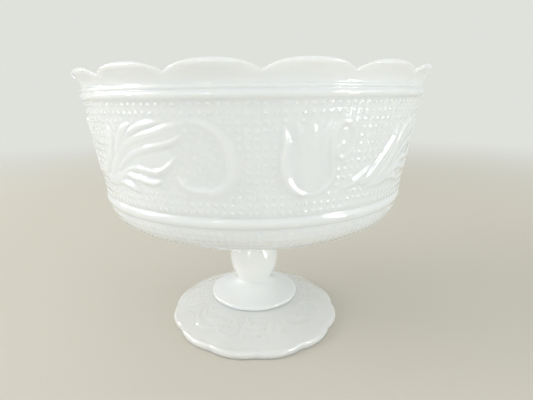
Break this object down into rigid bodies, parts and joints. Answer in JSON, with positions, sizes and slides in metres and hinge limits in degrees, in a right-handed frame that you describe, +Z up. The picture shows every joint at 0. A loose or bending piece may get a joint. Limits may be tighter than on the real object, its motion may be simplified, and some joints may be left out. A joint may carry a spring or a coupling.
{
  "type": "footed bowl",
  "caption": "Deep footed glass bowl with a scalloped lip, on a knopped stem and a round scalloped foot, for fruit, sweets or cake.",
  "frame": {"origin": "on the table, under the middle of the foot", "axes": "+Z up along the axis of the bowl, stem and foot; -Y is the front, where a notch of the foot faces the viewer"},
  "size_m": [0.203, 0.203, 0.162],
  "materials": {
    "bowl_glass": "gloss opal, fire polished",
    "stem_glass": "gloss opal, fire polished",
    "foot_glass": "gloss opal, fire polished"
  },
  "bodies": {
    "root": {"foot": "foot_glass", "stem": "stem_glass", "wafer": "stem_glass", "bowl": "bowl_glass"}
  },
  "joints": []
}
